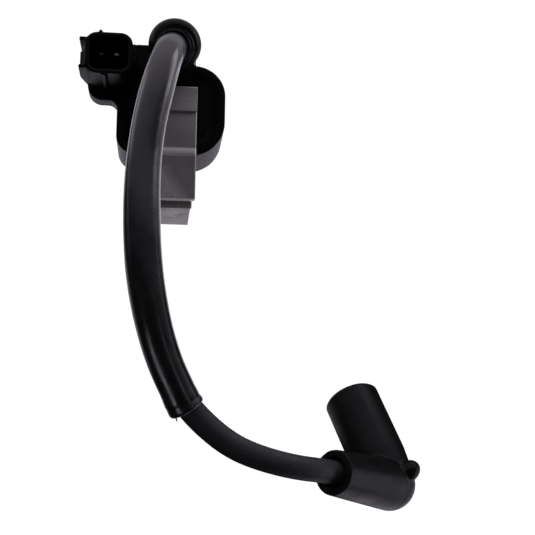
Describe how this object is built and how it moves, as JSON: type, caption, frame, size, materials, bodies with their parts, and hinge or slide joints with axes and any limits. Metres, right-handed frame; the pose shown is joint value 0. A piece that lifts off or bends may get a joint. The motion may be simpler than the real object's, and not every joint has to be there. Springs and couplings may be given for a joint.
{
  "type": "ignition coil",
  "caption": "Small-engine ignition coil: potted housing on a laminated core, connector socket, rubber-capped tower, sleeved high-tension lead and an elbow plug boot.",
  "frame": {"origin": "on the housing's flat back face, under the middle of the core's width", "axes": "+Z from the back face towards the tower and the connector's mouth, +Y from the core's bolt holes towards the tower, +X across the coil, away from the connector"},
  "size_m": [0.1146, 0.1602, 0.0677],
  "materials": {
    "housing_plastic": "moulded black plastic, semi-gloss",
    "potting_resin": "black potting resin, glossy",
    "core_steel": "laminated electrical steel, matte grey",
    "strap_steel": "dull grey steel sheet with light scuffs",
    "pressboard": "brown pressboard",
    "bobbin_nylon": "black glass-filled nylon",
    "copper_wire": "enamelled copper wire",
    "contact_brass": "tinned brass",
    "boot_rubber": "moulded black rubber, satin",
    "sleeve_vinyl": "black vinyl tubing, glossy",
    "lead_rubber": "black lead insulation, satin",
    "spring_steel": "spring steel"
  },
  "bodies": {
    "coil": {"housing": "housing_plastic", "connector_module": "housing_plastic", "potting_compound": "potting_resin", "core_yoke": "core_steel", "core_bar": "core_steel", "core_rivets": "core_steel", "core_strap": "strap_steel", "core_clip": "strap_steel", "core_gap_spacer": "pressboard", "primary_bobbin": "bobbin_nylon", "secondary_bobbin": "bobbin_nylon", "primary_winding": "copper_wire", "secondary_winding": "copper_wire", "primary_leads": "copper_wire", "hv_jumper": "copper_wire", "hv_terminal": "contact_brass", "terminal_pin_a": "contact_brass", "terminal_pin_b": "contact_brass", "tower_cap": "boot_rubber", "protective_sleeve": "sleeve_vinyl", "lead_jacket": "lead_rubber", "lead_conductor": "copper_wire", "lead_ferrule": "contact_brass"},
    "boot": {"plug_boot": "boot_rubber", "clip_holder": "bobbin_nylon", "elbow_terminal": "contact_brass", "plug_clip": "spring_steel"}
  },
  "joints": [
    {"name": "boot_swivel", "type": "hinge", "parent": "coil", "child": "boot", "pos_m": [0.0528, -0.12285, 0.0459], "axis": [0.7207, -0.141, -0.6788], "range_deg": [0, 90]}
  ]
}
